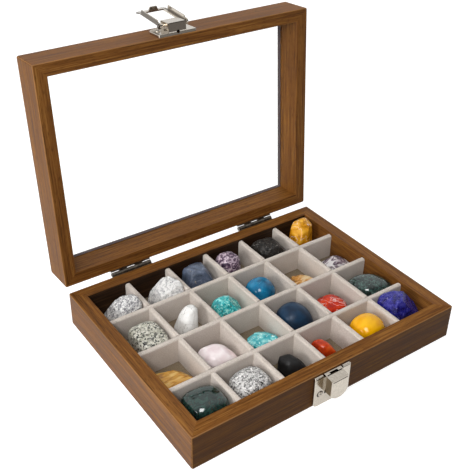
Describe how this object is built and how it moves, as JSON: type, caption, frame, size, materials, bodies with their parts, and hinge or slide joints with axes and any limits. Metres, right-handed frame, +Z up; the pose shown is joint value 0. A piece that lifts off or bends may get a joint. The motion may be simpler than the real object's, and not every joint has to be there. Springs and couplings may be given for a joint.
{
  "type": "mineral specimen box",
  "caption": "Hinged wooden display box with a glass lid, suede-lined compartments, a flip-over latch and a collection of loose stones.",
  "frame": {"origin": "centre of the tray's underside, on the surface that the box stands on", "axes": "+X along the long side to the right, +Y from the latch to the hinges, +Z up"},
  "size_m": [0.2, 0.2095, 0.1857],
  "materials": {
    "walnut_board": "satin walnut grain",
    "base_panel": "matt board",
    "tan_lining": "short nap",
    "beige_suede": "suede nap",
    "clear_glass": "clear, polished",
    "bright_nickel": "polished nickel plate",
    "aged_nickel": "tarnished nickel plate",
    "screw_nickel": "nickel plate, cross recess",
    "spring_steel": "drawn wire",
    "grey_marble": "rough broken faces",
    "rough_quartzite": "rough broken faces",
    "blue_chalcedony": "tumbled, glossy",
    "purple_lepidolite": "tumbled, satin",
    "black_lava": "porous, matt",
    "yellow_jasper": "polished, banded",
    "speckled_diorite": "tumbled, speckled",
    "white_howlite": "matt, rough",
    "green_turquoise": "tumbled, speckled",
    "blue_agate": "tumbled, glossy",
    "amber_jasper": "tumbled, glossy",
    "amethyst_matrix": "rough crystals",
    "yellow_calcite": "waxy, layered",
    "rose_quartz": "tumbled, satin",
    "turquoise_nugget": "lumpy, glossy",
    "blue_aventurine": "tumbled, satin",
    "red_jasper": "polished",
    "moss_agate": "polished",
    "bloodstone": "polished",
    "granite": "tumbled, speckled",
    "black_basalt": "honed, matt",
    "carnelian": "tumbled, glossy",
    "yellow_jade": "polished",
    "lapis": "rough, satin"
  },
  "bodies": {
    "tray": {"hinge_tray_screws": "screw_nickel", "latch_keeper_plate": "bright_nickel", "latch_keeper_screws": "screw_nickel", "left_hinge_pin": "aged_nickel", "left_hinge_tray_leaf": "aged_nickel", "long_divider_1": "beige_suede", "long_divider_2": "beige_suede", "long_divider_3": "beige_suede", "right_hinge_pin": "aged_nickel", "right_hinge_tray_leaf": "aged_nickel", "short_divider_1": "beige_suede", "short_divider_2": "beige_suede", "short_divider_3": "beige_suede", "short_divider_4": "beige_suede", "short_divider_5": "beige_suede", "tray_back_wall": "walnut_board", "tray_bottom_panel": "base_panel", "tray_floor_lining": "tan_lining", "tray_front_wall": "walnut_board", "tray_left_wall": "walnut_board", "tray_right_wall": "walnut_board"},
    "lid": {"lid_front_rail": "walnut_board", "lid_back_rail": "walnut_board", "lid_left_stile": "walnut_board", "lid_right_stile": "walnut_board", "lid_glass": "clear_glass", "left_hinge_lid_leaf": "aged_nickel", "right_hinge_lid_leaf": "aged_nickel", "hinge_lid_screws": "screw_nickel", "latch_base_plate": "bright_nickel", "latch_base_screws": "screw_nickel", "latch_hasp_pin": "bright_nickel", "latch_spring": "spring_steel"},
    "hasp": {"latch_hasp": "bright_nickel"},
    "stone_r1c1_grey_marble": {"stone_r1c1_grey_marble": "grey_marble"},
    "stone_r1c2_rough_quartzite": {"stone_r1c2_rough_quartzite": "rough_quartzite"},
    "stone_r1c3_blue_chalcedony": {"stone_r1c3_blue_chalcedony": "blue_chalcedony"},
    "stone_r1c4_purple_lepidolite": {"stone_r1c4_purple_lepidolite": "purple_lepidolite"},
    "stone_r1c5_black_lava": {"stone_r1c5_black_lava": "black_lava"},
    "stone_r1c6_yellow_jasper": {"stone_r1c6_yellow_jasper": "yellow_jasper"},
    "stone_r2c1_speckled_diorite": {"stone_r2c1_speckled_diorite": "speckled_diorite"},
    "stone_r2c2_white_howlite": {"stone_r2c2_white_howlite": "white_howlite"},
    "stone_r2c3_green_turquoise": {"stone_r2c3_green_turquoise": "green_turquoise"},
    "stone_r2c4_blue_agate": {"stone_r2c4_blue_agate": "blue_agate"},
    "stone_r2c5_amber_jasper": {"stone_r2c5_amber_jasper": "amber_jasper"},
    "stone_r2c6_amethyst_matrix": {"stone_r2c6_amethyst_matrix": "amethyst_matrix"},
    "stone_r3c1_yellow_calcite": {"stone_r3c1_yellow_calcite": "yellow_calcite"},
    "stone_r3c2_rose_quartz": {"stone_r3c2_rose_quartz": "rose_quartz"},
    "stone_r3c3_turquoise_nugget": {"stone_r3c3_turquoise_nugget": "turquoise_nugget"},
    "stone_r3c4_blue_aventurine": {"stone_r3c4_blue_aventurine": "blue_aventurine"},
    "stone_r3c5_red_jasper": {"stone_r3c5_red_jasper": "red_jasper"},
    "stone_r3c6_moss_agate": {"stone_r3c6_moss_agate": "moss_agate"},
    "stone_r4c1_bloodstone": {"stone_r4c1_bloodstone": "bloodstone"},
    "stone_r4c2_granite": {"stone_r4c2_granite": "granite"},
    "stone_r4c3_black_basalt": {"stone_r4c3_black_basalt": "black_basalt"},
    "stone_r4c4_carnelian": {"stone_r4c4_carnelian": "carnelian"},
    "stone_r4c5_yellow_jade": {"stone_r4c5_yellow_jade": "yellow_jade"},
    "stone_r4c6_lapis": {"stone_r4c6_lapis": "lapis"}
  },
  "joints": [
    {"name": "lid_hinge", "type": "hinge", "parent": "tray", "child": "lid", "pos_m": [0, 0.0777, 0.02386], "axis": [-1, 0, 0], "range_deg": [-94.25, 0]},
    {"name": "hasp_hinge", "type": "hinge", "parent": "lid", "child": "hasp", "pos_m": [0, 0.09636, 0.18131], "axis": [-1, 0, 0], "range_deg": [-172.5, 0]},
    {"name": "lift_r1c1", "type": "slide", "parent": "tray", "child": "stone_r1c1_grey_marble", "axis": [0, 0, 1], "range_m": [0, 0.04]},
    {"name": "lift_r1c2", "type": "slide", "parent": "tray", "child": "stone_r1c2_rough_quartzite", "axis": [0, 0, 1], "range_m": [0, 0.04]},
    {"name": "lift_r1c3", "type": "slide", "parent": "tray", "child": "stone_r1c3_blue_chalcedony", "axis": [0, 0, 1], "range_m": [0, 0.04]},
    {"name": "lift_r1c4", "type": "slide", "parent": "tray", "child": "stone_r1c4_purple_lepidolite", "axis": [0, 0, 1], "range_m": [0, 0.04]},
    {"name": "lift_r1c5", "type": "slide", "parent": "tray", "child": "stone_r1c5_black_lava", "axis": [0, 0, 1], "range_m": [0, 0.04]},
    {"name": "lift_r1c6", "type": "slide", "parent": "tray", "child": "stone_r1c6_yellow_jasper", "axis": [0, 0, 1], "range_m": [0, 0.04]},
    {"name": "lift_r2c1", "type": "slide", "parent": "tray", "child": "stone_r2c1_speckled_diorite", "axis": [0, 0, 1], "range_m": [0, 0.04]},
    {"name": "lift_r2c2", "type": "slide", "parent": "tray", "child": "stone_r2c2_white_howlite", "axis": [0, 0, 1], "range_m": [0, 0.04]},
    {"name": "lift_r2c3", "type": "slide", "parent": "tray", "child": "stone_r2c3_green_turquoise", "axis": [0, 0, 1], "range_m": [0, 0.04]},
    {"name": "lift_r2c4", "type": "slide", "parent": "tray", "child": "stone_r2c4_blue_agate", "axis": [0, 0, 1], "range_m": [0, 0.04]},
    {"name": "lift_r2c5", "type": "slide", "parent": "tray", "child": "stone_r2c5_amber_jasper", "axis": [0, 0, 1], "range_m": [0, 0.04]},
    {"name": "lift_r2c6", "type": "slide", "parent": "tray", "child": "stone_r2c6_amethyst_matrix", "axis": [0, 0, 1], "range_m": [0, 0.04]},
    {"name": "lift_r3c1", "type": "slide", "parent": "tray", "child": "stone_r3c1_yellow_calcite", "axis": [0, 0, 1], "range_m": [0, 0.04]},
    {"name": "lift_r3c2", "type": "slide", "parent": "tray", "child": "stone_r3c2_rose_quartz", "axis": [0, 0, 1], "range_m": [0, 0.04]},
    {"name": "lift_r3c3", "type": "slide", "parent": "tray", "child": "stone_r3c3_turquoise_nugget", "axis": [0, 0, 1], "range_m": [0, 0.04]},
    {"name": "lift_r3c4", "type": "slide", "parent": "tray", "child": "stone_r3c4_blue_aventurine", "axis": [0, 0, 1], "range_m": [0, 0.04]},
    {"name": "lift_r3c5", "type": "slide", "parent": "tray", "child": "stone_r3c5_red_jasper", "axis": [0, 0, 1], "range_m": [0, 0.04]},
    {"name": "lift_r3c6", "type": "slide", "parent": "tray", "child": "stone_r3c6_moss_agate", "axis": [0, 0, 1], "range_m": [0, 0.04]},
    {"name": "lift_r4c1", "type": "slide", "parent": "tray", "child": "stone_r4c1_bloodstone", "axis": [0, 0, 1], "range_m": [0, 0.04]},
    {"name": "lift_r4c2", "type": "slide", "parent": "tray", "child": "stone_r4c2_granite", "axis": [0, 0, 1], "range_m": [0, 0.04]},
    {"name": "lift_r4c3", "type": "slide", "parent": "tray", "child": "stone_r4c3_black_basalt", "axis": [0, 0, 1], "range_m": [0, 0.04]},
    {"name": "lift_r4c4", "type": "slide", "parent": "tray", "child": "stone_r4c4_carnelian", "axis": [0, 0, 1], "range_m": [0, 0.04]},
    {"name": "lift_r4c5", "type": "slide", "parent": "tray", "child": "stone_r4c5_yellow_jade", "axis": [0, 0, 1], "range_m": [0, 0.04]},
    {"name": "lift_r4c6", "type": "slide", "parent": "tray", "child": "stone_r4c6_lapis", "axis": [0, 0, 1], "range_m": [0, 0.04]}
  ]
}
